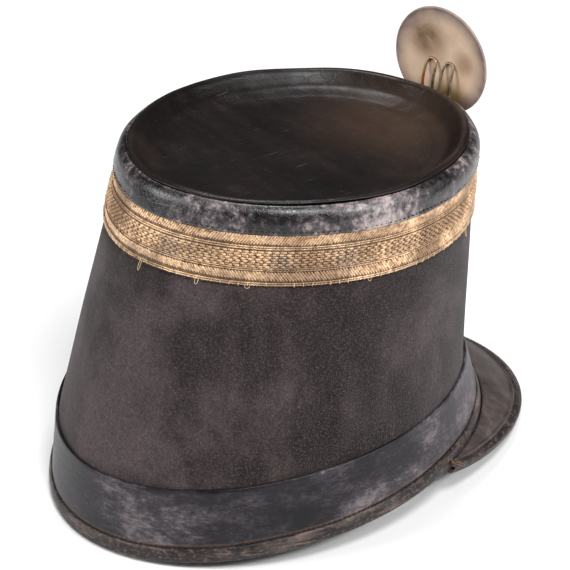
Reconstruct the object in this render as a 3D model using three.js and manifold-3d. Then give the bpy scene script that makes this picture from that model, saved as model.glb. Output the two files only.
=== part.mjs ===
// Military shako: a stiff oval cap with a tapering cloth-covered felt wall, a dished leather top,
// leather bands, a woven metal lace, a small sloping peak and a round cockade at the front.
//
// Millimetres, +Z up. The peak points to -Y and the wearer's left is +X. The cap stands on a table
// at z = 0: it touches it with the back of its base and with the tip of its peak, so the front of
// the base is a little off the table.

import * as THREE from "three";
import { mergeVertices } from "three/addons/utils/BufferGeometryUtils.js";
import Module from "manifold-3d";

// ---------------------------------------------------------------- driving dimensions

const stepsAround = 60;
const fitGap = 0.3;

// The cap's outer surface runs through three ovals: base edge, top of the base band, crown edge.
const baseOval = { length: 205, width: 170.4, centreY: 0, power: 1.95 };
const bandOval = { length: 192.2, width: 162, centreY: 2, power: 1.95 };
const crownOval = { length: 161, width: 141.8, centreY: -19.6, power: 1.9 };
const baseFrontRise = 16.3; // the front of the base edge above the table
const baseSideArch = 4; // how far the sides of the base edge arch up
const bandHeightMean = 30.9; // leather band with its binding
const bandHeightBackExtra = 3.3; // taller by this at the back, lower at the front
const crownHeight = 145.9; // crown edge above the table, at the oval's centre
const crownTilt = THREE.MathUtils.degToRad(2.9); // the crown slopes down to the front

const leatherThickness = 1.0;
const feltThickness = 2.6;
const feltInset = leatherThickness + fitGap;
const bindingHeight = 6.6;
const topBandDrop = 6.4; // top band's lower edge, down the wall from the crown edge
const laceWidth = 21;

// Peak
const peakReach = 27.4; // plan depth at the middle
const peakHalfAngle = 1.234; // radians either side of the front, where the peak runs out
const peakOutlinePower = 0.64; // below 1 gives the peak full shoulders
const peakFan = 0.22; // how much its sides point outwards
const peakRootHeight = 1.46; // above the base edge
const peakTipHeight = 1.0; // middle of its thickness, above the table
const peakThickness = 1.6;
const peakBindingWidth = 6;
const peakBindingThickness = 0.75;

// Cockade
const cockadeRadius = 24.9;
const cockadeThickness = 0.8;
const cockadeDome = 1.2;
const cockadeRimBead = 0.65;
const cockadeCentre = new THREE.Vector3(8.5, -106, 156.5);
const cockadeTurn = THREE.MathUtils.degToRad(11.5); // turned towards the wearer's left
const hairpinWire = 0.65; // wire radius
const hairpinSpread = 4.7; // each hairpin's middle, from the cockade's middle
const hairpinHalfWidth = 2.7;
const hairpinStandOff = 3.1;
const hairpinLength = 34;

// Leather slip that the hairpins are pushed into
const slipWidth = 19;
const slipHeight = 22;
const slipTopBelowCockadeCentre = 16;
const slipWall = 0.85;

// ---------------------------------------------------------------- the cap's outer surface

const front = -Math.PI / 2;

function signedPower(value, power) {
  return Math.sign(value) * Math.abs(value) ** power;
}

function ovalPoint(oval, angle) {
  const x = (oval.width / 2) * signedPower(Math.cos(angle), 2 / oval.power);
  const y = oval.centreY + (oval.length / 2) * signedPower(Math.sin(angle), 2 / oval.power);
  return new THREE.Vector2(x, y);
}

// Unit plan direction out of the cap at this angle.
function outward(angle) {
  const across = Math.cos(angle) / baseOval.width;
  const along = Math.sin(angle) / baseOval.length;
  return new THREE.Vector3(across, along, 0).normalize();
}

function baseEdge(angle) {
  const plan = ovalPoint(baseOval, angle);
  const backness = plan.y / (baseOval.length / 2);
  const slope = (baseFrontRise * (1 - backness)) / 2;
  const arch = baseSideArch * (1 - backness * backness);
  return new THREE.Vector3(plan.x, plan.y, slope + arch);
}

function bandEdge(angle) {
  const plan = ovalPoint(bandOval, angle);
  const height = bandHeightMean + bandHeightBackExtra * Math.sin(angle);
  return new THREE.Vector3(plan.x, plan.y, baseEdge(angle).z + height);
}

function crownEdge(angle) {
  const plan = ovalPoint(crownOval, angle);
  const z = crownHeight + (plan.y - crownOval.centreY) * Math.tan(crownTilt);
  return new THREE.Vector3(plan.x, plan.y, z);
}

// A point on the base band: height above the base edge, inset into the cap.
function lowPoint(angle, inset, height) {
  const base = baseEdge(angle);
  const band = bandEdge(angle);
  const share = height / (band.z - base.z);
  return base.lerp(band, share).addScaledVector(outward(angle), -inset);
}

// A point on the upper wall: drop measured down the wall from the crown edge.
function highPoint(angle, inset, drop) {
  const crown = crownEdge(angle);
  const band = bandEdge(angle);
  const share = drop / crown.distanceTo(band);
  return crown.lerp(band, share).addScaledVector(outward(angle), -inset);
}

// A point above the crown edge, on the rim and the dished top.
function rimPoint(angle, inset, rise) {
  const crown = crownEdge(angle).addScaledVector(outward(angle), -inset);
  crown.z += rise;
  return crown;
}

// ---------------------------------------------------------------- mesh building

function geometryFrom(points, triangles) {
  let volume = 0;
  for (const [a, b, c] of triangles) {
    volume += points[a].dot(new THREE.Vector3().crossVectors(points[b], points[c]));
  }
  const outwardTriangles = volume < 0 ? triangles.map(([a, b, c]) => [a, c, b]) : triangles;
  const geometry = new THREE.BufferGeometry();
  geometry.setFromPoints(points);
  geometry.setIndex(outwardTriangles.flat());
  geometry.computeVertexNormals();
  return geometry;
}

function middleOf(loop) {
  const middle = new THREE.Vector3();
  loop.forEach((point) => middle.add(point));
  return middle.divideScalar(loop.length);
}

// Closed solid through a row of closed loops with equal point counts. An endless row joins its
// last loop to its first, and any other row is closed with a fan at each end.
function skin(loops, endless) {
  const count = loops[0].length;
  const points = loops.flat();
  const triangles = [];
  const rows = endless ? loops.length : loops.length - 1;
  for (let row = 0; row < rows; row += 1) {
    const here = row * count;
    const next = ((row + 1) % loops.length) * count;
    for (let i = 0; i < count; i += 1) {
      const j = (i + 1) % count;
      triangles.push([here + i, here + j, next + j]);
      triangles.push([here + i, next + j, next + i]);
    }
  }
  if (!endless) {
    const last = (loops.length - 1) * count;
    const firstMiddle = points.length;
    points.push(middleOf(loops[0]), middleOf(loops[loops.length - 1]));
    for (let i = 0; i < count; i += 1) {
      const j = (i + 1) % count;
      triangles.push([firstMiddle, j, i]);
      triangles.push([firstMiddle + 1, last + i, last + j]);
    }
  }
  return geometryFrom(points, triangles);
}

// Rings all the way round the cap, one for each entry of a section.
function ringsAround(section, pointAt) {
  return section.map((entry) => {
    const ring = [];
    for (let step = 0; step < stepsAround; step += 1) {
      ring.push(pointAt((2 * Math.PI * step) / stepsAround, entry));
    }
    return ring;
  });
}

function part(name, geometry, colour, roughness, metalness) {
  const material = new THREE.MeshStandardMaterial({ color: colour, roughness, metalness });
  const mesh = new THREE.Mesh(geometry, material);
  mesh.name = name;
  return mesh;
}

// ---------------------------------------------------------------- felt wall and its coverings

function crownBody() {
  const inner = feltInset + feltThickness;
  const bottom = 1.7;
  const rings = [
    (angle) => lowPoint(angle, feltInset, bottom),
    (angle) => bandEdge(angle).addScaledVector(outward(angle), -feltInset),
    (angle) => highPoint(angle, feltInset, topBandDrop + laceWidth),
    (angle) => highPoint(angle, feltInset, fitGap),
    (angle) => highPoint(angle, inner, fitGap),
    (angle) => highPoint(angle, inner, topBandDrop + laceWidth),
    (angle) => bandEdge(angle).addScaledVector(outward(angle), -inner),
    (angle) => lowPoint(angle, inner, bottom),
  ];
  return skin(ringsAround(rings, (angle, ring) => ring(angle)), true);
}

function bottomBand() {
  const lower = bindingHeight + fitGap;
  const rings = [
    (angle) => lowPoint(angle, 0, lower),
    (angle) => bandEdge(angle),
    (angle) => bandEdge(angle).addScaledVector(outward(angle), -leatherThickness),
    (angle) => lowPoint(angle, leatherThickness, lower),
  ];
  return skin(ringsAround(rings, (angle, ring) => ring(angle)), true);
}

// Rolled strip that wraps the raw lower edge of the wall.
function baseBinding() {
  const section = [
    { inset: -0.2, height: bindingHeight },
    { inset: -0.9, height: 4.4 },
    { inset: -0.7, height: 1.2 },
    { inset: 0.5, height: 0 },
    { inset: 4.6, height: 0 },
    { inset: 5.4, height: 0.9 },
    { inset: 5.2, height: 5.5 },
    { inset: 4.2, height: 5.5 },
    { inset: 4.2, height: 1.4 },
    { inset: 1.0, height: 1.4 },
    { inset: 1.0, height: bindingHeight },
  ];
  return skin(ringsAround(section, (angle, at) => lowPoint(angle, at.inset, at.height)), true);
}

function laceBand() {
  const upper = topBandDrop + fitGap;
  const lower = topBandDrop + laceWidth;
  const section = [
    { inset: 0.1, drop: upper },
    { inset: 0.1, drop: lower },
    { inset: leatherThickness, drop: lower },
    { inset: leatherThickness, drop: upper },
  ];
  return skin(ringsAround(section, (angle, at) => highPoint(angle, at.inset, at.drop)), true);
}

// Leather turned in over the crown edge: its outer face rounds from the wall to the lip.
function topBand() {
  const section = [
    { inset: -0.3, rise: -topBandDrop },
    { inset: -0.9, rise: -3.6 },
    { inset: -1.0, rise: -0.4 },
    { inset: -0.1, rise: 2.2 },
    { inset: 1.4, rise: 4.0 },
    { inset: 3.1, rise: 4.9 },
    { inset: 3.7, rise: 3.9 },
    { inset: 2.2, rise: 3.0 },
    { inset: 0.9, rise: 1.5 },
    { inset: 0.25, rise: -0.6 },
    { inset: 0.9, rise: -topBandDrop },
  ];
  const pointAt = (angle, at) =>
    at.rise < 0 ? highPoint(angle, at.inset, -at.rise) : rimPoint(angle, at.inset, at.rise);
  return skin(ringsAround(section, pointAt), true);
}

// Dished top with a raised round rim, closed in the middle above and below.
function crownTop() {
  const section = [
    { inset: 40, rise: -2.5 },
    { inset: 20, rise: -1.9 },
    { inset: 13, rise: 0.2 },
    { inset: 9.4, rise: 3.3 },
    { inset: 7.3, rise: 5.6 },
    { inset: 6.0, rise: 6.3 },
    { inset: 4.6, rise: 6.2 },
    { inset: 3.6, rise: 5.5 },
    { inset: 4.3, rise: 4.3 },
    { inset: 2.7, rise: 2.8 },
    { inset: 1.6, rise: 0 },
    { inset: 8.6, rise: 0 },
    { inset: 13, rise: -1.8 },
    { inset: 20, rise: -3.7 },
    { inset: 40, rise: -4.3 },
  ];
  return skin(ringsAround(section, (angle, at) => rimPoint(angle, at.inset, at.rise)), false);
}

// ---------------------------------------------------------------- peak

const peakRootOutset = 1.25;
const peakRootZ = baseEdge(front).z + peakRootHeight;
const peakSlope = Math.atan2(peakRootZ - peakTipHeight, peakReach);

// Depth of the peak along its slope, at this share (-1 to 1) of its half angle.
function peakDepth(share) {
  const outline = Math.cos((share * Math.PI) / 2) ** peakOutlinePower;
  return (peakReach * outline) / Math.cos(peakSlope);
}

// A point of the peak: along its slope from the root, and off its middle surface.
function peakPoint(share, along, off) {
  const turn = share * peakHalfAngle;
  const root = lowPoint(front + turn, -peakRootOutset, peakRootHeight);
  const plan = new THREE.Vector3(peakFan * Math.sin(turn), -Math.cos(peakFan * turn), 0).normalize();
  const reach = along * Math.cos(peakSlope) + off * Math.sin(peakSlope);
  const fall = along * Math.sin(peakSlope) - off * Math.cos(peakSlope);
  root.addScaledVector(plan, reach);
  root.z -= fall;
  return root;
}

function peakSections(shareLimit, steps, sectionAt) {
  const loops = [];
  for (let step = 0; step <= steps; step += 1) {
    const share = shareLimit * Math.sin((Math.PI / 2) * ((2 * step) / steps - 1));
    loops.push(sectionAt(share).map(([along, off]) => peakPoint(share, along, off)));
  }
  return loops;
}

function peak() {
  const half = peakThickness / 2;
  const edgeRoom = peakBindingThickness + fitGap;
  const sectionAt = (share) => {
    const depth = peakDepth(share) - edgeRoom;
    return [
      [0, half],
      [depth, half],
      [depth, -half],
      [0, -half],
    ];
  };
  return skin(peakSections(0.95, 40, sectionAt), false);
}

// Strip folded over the peak's edge.
function peakBinding() {
  const inner = peakThickness / 2 + fitGap;
  const outer = inner + peakBindingThickness;
  const sectionAt = (share) => {
    const depth = peakDepth(share);
    const legEnd = Math.max(depth - peakBindingWidth, 0.3);
    const fold = depth - peakBindingThickness;
    return [
      [legEnd, outer],
      [depth - 1, outer],
      [depth, inner],
      [depth, -inner],
      [depth - 1, -outer],
      [legEnd, -outer],
      [legEnd, -inner],
      [fold, -inner],
      [fold, inner],
      [legEnd, inner],
    ];
  };
  return skin(peakSections(0.975, 44, sectionAt), false);
}

// ---------------------------------------------------------------- cockade and its slip

// Local frame of the cockade: x to its left side, y up, z out of its front.
const cockadeFrame = new THREE.Group();
cockadeFrame.position.copy(cockadeCentre);
cockadeFrame.rotation.set(Math.PI / 2, cockadeTurn, 0, "XYZ");

const wasm = await Module();
wasm.setup();

function toManifold(geometry) {
  const bare = geometry.clone();
  bare.deleteAttribute("normal");
  bare.deleteAttribute("uv");
  const merged = mergeVertices(bare, 1e-4);
  return new wasm.Manifold(
    new wasm.Mesh({
      numProp: 3,
      vertProperties: new Float32Array(merged.attributes.position.array),
      triVerts: new Uint32Array(merged.index.array),
    }),
  );
}

function fromManifold(solid) {
  const mesh = solid.getMesh();
  const geometry = new THREE.BufferGeometry();
  geometry.setAttribute("position", new THREE.BufferAttribute(mesh.vertProperties, 3));
  geometry.setIndex(new THREE.BufferAttribute(mesh.triVerts, 1));
  geometry.computeVertexNormals();
  return geometry;
}

// Thin domed disc with a round bead at its rim, its axis along local z.
function cockadeDisc() {
  const half = cockadeThickness / 2;
  const beadRadius = cockadeRadius - cockadeRimBead;
  const domeAt = (radius) => cockadeDome * (1 - (radius / beadRadius) ** 2);
  const radii = [0, 8, 15, 20.5];
  const profile = radii.map((radius) => new THREE.Vector2(radius, domeAt(radius) + half));
  for (let step = 0; step <= 6; step += 1) {
    const turn = THREE.MathUtils.degToRad(130 - (260 * step) / 6);
    const x = beadRadius + cockadeRimBead * Math.cos(turn);
    profile.push(new THREE.Vector2(x, cockadeRimBead * Math.sin(turn)));
  }
  radii.reverse().forEach((radius) => {
    profile.push(new THREE.Vector2(radius, domeAt(radius) - half));
  });
  const disc = new THREE.LatheGeometry(profile.reverse(), 48);
  disc.rotateX(Math.PI / 2);
  return disc;
}

// Bent wire: two legs that go down and a round bend at the top, which leans to the disc's back.
function hairpin(side) {
  const middle = side * hairpinSpread;
  const bendStandOff = hairpinWire - cockadeDome + 0.35;
  const path = new THREE.CatmullRomCurve3(
    [-1, 1].flatMap((leg) => {
      const x = (share) => middle + leg * hairpinHalfWidth * share;
      const points = [
        new THREE.Vector3(x(1), -hairpinLength, -hairpinStandOff),
        new THREE.Vector3(x(1), -22, -hairpinStandOff),
        new THREE.Vector3(x(1), -11, -hairpinStandOff),
        new THREE.Vector3(x(1), -4.5, -(hairpinStandOff + bendStandOff) / 2),
        new THREE.Vector3(x(0.62), -0.9, -bendStandOff),
      ];
      return leg < 0 ? points : points.reverse();
    }),
    false,
    "centripetal",
  );
  const wireSection = new THREE.Shape();
  wireSection.absarc(0, 0, hairpinWire, 0, 2 * Math.PI);
  return new THREE.ExtrudeGeometry(wireSection, {
    steps: 30,
    curveSegments: 4,
    extrudePath: path,
    bevelEnabled: false,
  });
}

function solderBead(side) {
  const bead = new THREE.SphereGeometry(1, 12, 8);
  bead.scale(2, 1.3, 1.1);
  bead.translate(side * hairpinSpread, -0.7, cockadeDome - cockadeThickness / 2 - 0.2);
  return bead;
}

function cockade() {
  let solid = toManifold(cockadeDisc());
  for (const side of [-1, 1]) {
    solid = solid.add(toManifold(hairpin(side)));
    solid = solid.add(toManifold(solderBead(side)));
  }
  return fromManifold(solid);
}

// Flat leather tube, open above and below.
function cockadeSlip() {
  const slotHalf = hairpinWire + fitGap;
  const depthHalf = slotHalf + slipWall;
  const slotWidth = 2 * (hairpinSpread + hairpinHalfWidth + hairpinWire + fitGap);
  const roundedBox = (shape, halfWidth, halfDepth) => {
    shape.moveTo(-halfWidth + halfDepth, -halfDepth);
    shape.lineTo(halfWidth - halfDepth, -halfDepth);
    shape.absarc(halfWidth - halfDepth, 0, halfDepth, -Math.PI / 2, Math.PI / 2);
    shape.lineTo(-halfWidth + halfDepth, halfDepth);
    shape.absarc(-halfWidth + halfDepth, 0, halfDepth, Math.PI / 2, (3 * Math.PI) / 2);
    return shape;
  };
  const outline = roundedBox(new THREE.Shape(), slipWidth / 2, depthHalf);
  outline.holes.push(roundedBox(new THREE.Path(), slotWidth / 2, slotHalf));
  const tube = new THREE.ExtrudeGeometry(outline, {
    depth: slipHeight,
    curveSegments: 6,
    bevelEnabled: false,
  });
  tube.rotateX(Math.PI / 2);
  tube.translate(0, -slipTopBelowCockadeCentre, -hairpinStandOff);
  return tube;
}

// ---------------------------------------------------------------- assembly

const hat = new THREE.Group();
hat.add(part("crown_body", crownBody(), 0x3a3334, 0.95, 0));
hat.add(part("bottom_band", bottomBand(), 0x34323a, 0.55, 0));
hat.add(part("base_binding", baseBinding(), 0x25222a, 0.5, 0));
hat.add(part("lace_band", laceBand(), 0xa08560, 0.6, 0.3));
hat.add(part("top_band", topBand(), 0x4d4a52, 0.5, 0));
hat.add(part("crown_top", crownTop(), 0x141113, 0.25, 0));
hat.add(part("peak", peak(), 0x2a2522, 0.45, 0));
hat.add(part("peak_binding", peakBinding(), 0x211d1d, 0.45, 0));
cockadeFrame.add(part("cockade", cockade(), 0xb89f80, 0.4, 0.8));
cockadeFrame.add(part("cockade_slip", cockadeSlip(), 0x2a2522, 0.6, 0));
hat.add(cockadeFrame);

// The frame's origin is on the table, under the middle of the cap's outer box.
hat.updateMatrixWorld(true);
const outerBox = new THREE.Box3().setFromObject(hat, true);
hat.position.set(0, -(outerBox.min.y + outerBox.max.y) / 2, -outerBox.min.z);
hat.updateMatrixWorld(true);

export default hat;
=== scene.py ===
import math

import bmesh
import bpy
import numpy as np
from mathutils import Matrix, Vector, noise


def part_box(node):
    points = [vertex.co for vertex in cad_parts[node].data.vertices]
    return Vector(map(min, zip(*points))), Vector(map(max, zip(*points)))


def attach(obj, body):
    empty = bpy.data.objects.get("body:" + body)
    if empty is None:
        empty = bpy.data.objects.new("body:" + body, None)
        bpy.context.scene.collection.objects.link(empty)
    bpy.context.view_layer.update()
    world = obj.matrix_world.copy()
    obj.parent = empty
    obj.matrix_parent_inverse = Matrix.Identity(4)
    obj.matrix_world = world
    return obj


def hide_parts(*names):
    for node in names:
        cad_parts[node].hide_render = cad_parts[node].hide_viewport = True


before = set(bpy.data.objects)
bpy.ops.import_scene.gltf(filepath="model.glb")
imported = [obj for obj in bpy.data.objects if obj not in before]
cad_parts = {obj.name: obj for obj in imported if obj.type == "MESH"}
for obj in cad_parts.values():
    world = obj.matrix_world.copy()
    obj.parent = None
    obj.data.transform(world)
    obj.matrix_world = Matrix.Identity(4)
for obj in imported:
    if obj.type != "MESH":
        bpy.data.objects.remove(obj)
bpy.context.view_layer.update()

# ------------------------------------------------------------------ cap wall
# The wall is stiff felt, an oval tube that narrows and leans forward as it rises. Black woollen
# cloth covers it outside. It has faded to a brown purple and holds dust in its nap; inside, the
# felt is bare.

roll_low, roll_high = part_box("base_binding")
CAP_MIDDLE_Y = (roll_low[1] + roll_high[1]) / 2
TABLE_LIFT = roll_low[2]

BASE_OVAL = {"length": 0.205, "width": 0.1704, "middle": 0.0, "power": 1.95}
BAND_OVAL = {"length": 0.1922, "width": 0.162, "middle": 0.002, "power": 1.95}
CROWN_OVAL = {"length": 0.161, "width": 0.1418, "middle": -0.0196, "power": 1.9}
BASE_FRONT_RISE = 0.0163
BASE_SIDE_ARCH = 0.004
BAND_HEIGHT = 0.0309
BAND_BACK_EXTRA = 0.0033
CROWN_HEIGHT = 0.1459
CROWN_SLOPE = math.tan(math.radians(2.9))
FRONT = -math.pi / 2
FELT_INSET = 0.0013
FELT_THICKNESS = 0.0026
STEPS_AROUND = 360


def oval_line(oval, angle):
    turn = 2 / oval["power"]
    across = np.sign(np.cos(angle)) * np.abs(np.cos(angle)) ** turn
    along = np.sign(np.sin(angle)) * np.abs(np.sin(angle)) ** turn
    return oval["width"] / 2 * across, oval["middle"] + oval["length"] / 2 * along


def outward(angle):
    across = np.cos(angle) / BASE_OVAL["width"]
    along = np.sin(angle) / BASE_OVAL["length"]
    size = np.hypot(across, along)
    return np.stack([across / size, along / size, 0 * along], axis=-1)


def base_edge(angle):
    x, y = oval_line(BASE_OVAL, angle)
    backness = y / (BASE_OVAL["length"] / 2)
    z = BASE_FRONT_RISE * (1 - backness) / 2 + BASE_SIDE_ARCH * (1 - backness**2)
    return np.stack([x, y + CAP_MIDDLE_Y, z + TABLE_LIFT], axis=-1)


def band_edge(angle):
    x, y = oval_line(BAND_OVAL, angle)
    z = base_edge(angle)[..., 2] + BAND_HEIGHT + BAND_BACK_EXTRA * np.sin(angle)
    return np.stack([x, y + CAP_MIDDLE_Y, z], axis=-1)


def crown_edge(angle):
    x, y = oval_line(CROWN_OVAL, angle)
    z = CROWN_HEIGHT + (y - CROWN_OVAL["middle"]) * CROWN_SLOPE
    return np.stack([x, y + CAP_MIDDLE_Y, z + TABLE_LIFT], axis=-1)


def band_point(angle, inset, share):
    base = base_edge(angle)
    return base + (band_edge(angle) - base) * share - outward(angle) * inset


def low_point(angle, inset, height):
    rise = band_edge(angle)[..., 2] - base_edge(angle)[..., 2]
    return band_point(angle, inset, (height / rise)[..., None])


def wall_point(angle, inset, share):
    band = band_edge(angle)
    return band + (crown_edge(angle) - band) * share - outward(angle) * inset


def high_point(angle, inset, drop):
    crown = crown_edge(angle)
    down = band_edge(angle) - crown
    size = np.linalg.norm(down, axis=-1, keepdims=True)
    return crown + down / size * drop - outward(angle) * inset


def rim_point(angle, inset, rise):
    point = crown_edge(angle) - outward(angle) * inset
    point[..., 2] -= outward(angle)[..., 1] * inset * CROWN_SLOPE
    point[..., 2] += rise
    return point


def circle_of_angles(steps=STEPS_AROUND):
    return FRONT + 2 * math.pi * np.arange(steps) / steps


def uneven(points, directions, amount, size, seed):
    """Moves points in and out a little, as hand-worked felt and leather do."""
    offset = Vector((seed * 7.3, seed * 3.1, seed * 5.7))
    wander = [noise.noise(Vector(p) / size + offset) for p in points.reshape(-1, 3)]
    return points + directions * (amount * np.array(wander).reshape(points.shape[:-1] + (1,)))


def plain_mesh(name, points, faces, strips=None):
    """Mesh object at the origin. strips gives each face corner's place along and across a strip, as UV."""
    mesh = bpy.data.meshes.new(name)
    mesh.from_pydata([tuple(p) for p in points], [], faces)
    if strips is not None:
        layer = mesh.uv_layers.new(name="strip")
        layer.data.foreach_set("uv", [value for face in strips for corner in face for value in corner])
    mesh.shade_smooth()
    piece = bpy.data.objects.new(name, mesh)
    bpy.context.scene.collection.objects.link(piece)
    return piece


def ring_shell(name, rings, endless=True):
    """Closed solid through rings that all go once round the cap."""
    rings = [np.asarray(ring) for ring in rings]
    count = len(rings[0])
    points = np.concatenate(rings)
    across = [0.0]
    for here, there in zip(rings, rings[1:] + rings[:1]):
        across.append(across[-1] + float(np.linalg.norm(there - here, axis=1).mean()))
    faces, strips = [], []
    rows = len(rings) if endless else len(rings) - 1
    for row in range(rows):
        following = (row + 1) % len(rings)
        for i in range(count):
            j = (i + 1) % count
            faces.append((row * count + i, row * count + j, following * count + j, following * count + i))
            left, right = i / count, (i + 1) / count
            low, high = across[row], across[row + 1]
            strips.append(((left, low), (right, low), (right, high), (left, high)))
    if not endless:
        for row, order in ((0, -1), (len(rings) - 1, 1)):
            middle = len(points)
            points = np.concatenate([points, rings[row].mean(axis=0, keepdims=True)])
            for i in range(count):
                j = (i + 1) % count
                pair = (row * count + i, row * count + j)[::order]
                faces.append((middle, *pair))
                strips.append(((i / count, across[row]),) * 3)
    piece = plain_mesh(name, points, faces, strips)
    face_outwards(piece)
    return piece


def face_outwards(piece):
    """Turns every face round if the closed mesh is inside out."""
    shape = bmesh.new()
    shape.from_mesh(piece.data)
    if shape.calc_volume(signed=True) < 0:
        bmesh.ops.reverse_faces(shape, faces=shape.faces)
    shape.to_mesh(piece.data)
    shape.free()


def rounded(section, spans=4):
    """Smooth closed line of (inset, height) pairs through the corners of a section."""
    corners = np.array(section, dtype=float)
    line = []
    for i in range(len(corners)):
        a, b, c, d = (corners[(i + k) % len(corners)] for k in (-1, 0, 1, 2))
        for t in np.arange(spans) / spans:
            bend = 2 * b + (c - a) * t + (2 * a - 5 * b + 4 * c - d) * t**2
            line.append((bend + (3 * b - a - 3 * c + d) * t**3) / 2)
    return line


def srgb(red, green, blue):
    """Linear colour from the 0-255 values of a display."""
    shown = [value / 255 for value in (red, green, blue)]
    linear = [c / 12.92 if c < 0.04045 else ((c + 0.055) / 1.055) ** 2.4 for c in shown]
    return (*linear, 1.0)


class Finish:
    """A node material under construction, ending in one Principled shader."""

    def __init__(self, name, **constants):
        self.material = bpy.data.materials.new(name)
        self.material.use_nodes = True
        self.tree = self.material.node_tree
        self.shader = self.tree.nodes["Principled BSDF"]
        for socket, value in constants.items():
            self.shader.inputs[socket.replace("_", " ")].default_value = value
        place = self.tree.nodes.new("ShaderNodeTexCoord")
        self.place = place.outputs["Object"]
        self.strip = place.outputs["UV"]

    def node(self, kind, settings=None, **inputs):
        made = self.tree.nodes.new("ShaderNode" + kind)
        for name, value in (settings or {}).items():
            setattr(made, name, value)
        for name, value in inputs.items():
            self.fill(made.inputs[int(name[1:]) if name[0] == "_" else name], value)
        return made

    def fill(self, socket, value):
        if isinstance(value, bpy.types.NodeSocket):
            self.tree.links.new(value, socket)
        else:
            socket.default_value = value

    def stretched(self, vector, scale):
        return self.node("Mapping", Vector=vector, Scale=scale).outputs[0]

    def cloud(self, vector, scale, detail=6.0, roughness=0.6, distortion=0.0):
        made = self.node("TexNoise", Vector=vector, Scale=scale, Detail=detail, Roughness=roughness,
                         Distortion=distortion)
        return made.outputs[0]

    def ramp(self, factor, *stops):
        made = self.node("ValToRGB", Fac=factor)
        band = made.color_ramp.elements
        while len(band) < len(stops):
            band.new(0.5)
        for element, (position, colour) in zip(band, stops):
            element.position = position
            element.color = colour if isinstance(colour, tuple) else (colour, colour, colour, 1.0)
        return made.outputs[0]

    def mix(self, factor, first, second, way="MIX"):
        made = self.node("Mix", {"data_type": "RGBA", "blend_type": way}, _0=factor, _6=first, _7=second)
        return made.outputs[2]

    def sum(self, first, second, way="ADD"):
        return self.node("Math", {"operation": way}, _0=first, _1=second).outputs[0]

    def near(self, spot, inner, outer):
        """1 at a spot on the cap, falling to 0 at the outer distance."""
        distance = self.node("VectorMath", {"operation": "DISTANCE"}, _0=self.place, _1=spot).outputs["Value"]
        made = self.node("MapRange", {"interpolation_type": "SMOOTHSTEP"}, Value=distance)
        made.inputs["From Min"].default_value = inner
        made.inputs["From Max"].default_value = outer
        made.inputs["To Min"].default_value = 1.0
        made.inputs["To Max"].default_value = 0.0
        return made.outputs[0]

    def bump(self, height, depth, strength=1.0, under=None):
        made = self.node("Bump", Height=height, Distance=depth, Strength=strength)
        if under is not None:
            self.fill(made.inputs["Normal"], under)
        return made.outputs[0]

    def finish(self, colour, roughness=None, normal=None):
        links = {"Base Color": colour, "Roughness": roughness, "Normal": normal}
        for name, value in links.items():
            if value is not None:
                self.fill(self.shader.inputs[name], value)
        return self.material


def cloth_finish():
    made = Finish("faded_wool_cloth", Sheen_Weight=0.12, Sheen_Roughness=0.5, Specular_IOR_Level=0.15)
    patches = made.cloud(made.place, 16.0, detail=8.0, roughness=0.6, distortion=0.3)
    nap = made.cloud(made.place, 620.0, detail=5.0, roughness=0.75)
    paleness = made.cloud(made.stretched(made.place, (60.0, 60.0, 14.0)), 1.0, detail=5.0)
    colour = made.ramp(patches, (0.38, srgb(20, 14, 14)), (0.5, srgb(37, 29, 30)), (0.62, srgb(70, 60, 63)))
    colour = made.mix(made.ramp(paleness, (0.5, 0.0), (0.75, 0.5)), colour, srgb(82, 71, 70))
    colour = made.mix(made.ramp(nap, (0.36, 0.5), (0.6, 0.0)), colour, srgb(18, 14, 14))
    lint = made.cloud(made.place, 1300.0, detail=3.0, roughness=0.8)
    colour = made.mix(made.ramp(lint, (0.5, 0.0), (0.74, 0.36)), colour, srgb(128, 114, 112))
    threads_round = made.node("TexWave", {"bands_direction": "X"}, Vector=made.strip, Scale=165.0,
                              Distortion=1.2)
    threads_up = made.node("TexWave", {"bands_direction": "Y"}, Vector=made.strip, Scale=330.0,
                           Distortion=1.2)
    weave = made.sum(threads_round.outputs[1], threads_up.outputs[1])
    fuzz = made.bump(nap, 0.0006, 0.55)
    return made.finish(colour, 0.93, made.bump(weave, 0.00012, 0.5, fuzz))


def bare_felt_finish():
    made = Finish("bare_felt", Sheen_Weight=0.2, Specular_IOR_Level=0.2)
    clumps = made.cloud(made.place, 120.0, detail=6.0)
    colour = made.ramp(clumps, (0.35, srgb(58, 48, 42)), (0.7, srgb(92, 80, 70)))
    return made.finish(colour, 0.95, made.bump(clumps, 0.0008, 0.6))


def cap_wall():
    angle = circle_of_angles()
    away = outward(angle)
    outer = [low_point(angle, FELT_INSET, 0.0017)]
    outer += [band_point(angle, FELT_INSET, share) for share in np.linspace(0.2, 0.96, 6)]
    outer += [wall_point(angle, FELT_INSET, share) for share in np.linspace(0.02, 0.985, 44)]
    outer.append(high_point(angle, FELT_INSET, 0.0003))
    outer = [uneven(ring, away, 0.0005, 0.045, 1) for ring in outer]
    inset = FELT_INSET + FELT_THICKNESS
    inner = [high_point(angle, inset, 0.0003)]
    inner += [wall_point(angle, inset, share) for share in np.linspace(0.98, 0.02, 24)]
    inner += [band_point(angle, inset, share) for share in np.linspace(0.96, 0.2, 5)]
    inner.append(low_point(angle, inset, 0.0017))
    piece = ring_shell("cap_wall", outer + inner)
    piece.data.materials.append(cloth_finish())
    piece.data.materials.append(bare_felt_finish())
    inside = len(outer) * STEPS_AROUND
    for polygon in piece.data.polygons:
        polygon.material_index = int(min(polygon.vertices) >= inside - STEPS_AROUND)
    return piece


wall = cap_wall()
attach(wall, "root")
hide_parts("crown_body")

# ------------------------------------------------------------------ base band
# A strip of thin black leather glued round the foot of the wall. Handling has streaked it along
# its length with grey and brown, and its cut upper edge has worn pale.

BAND_THICKNESS = 0.001


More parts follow.
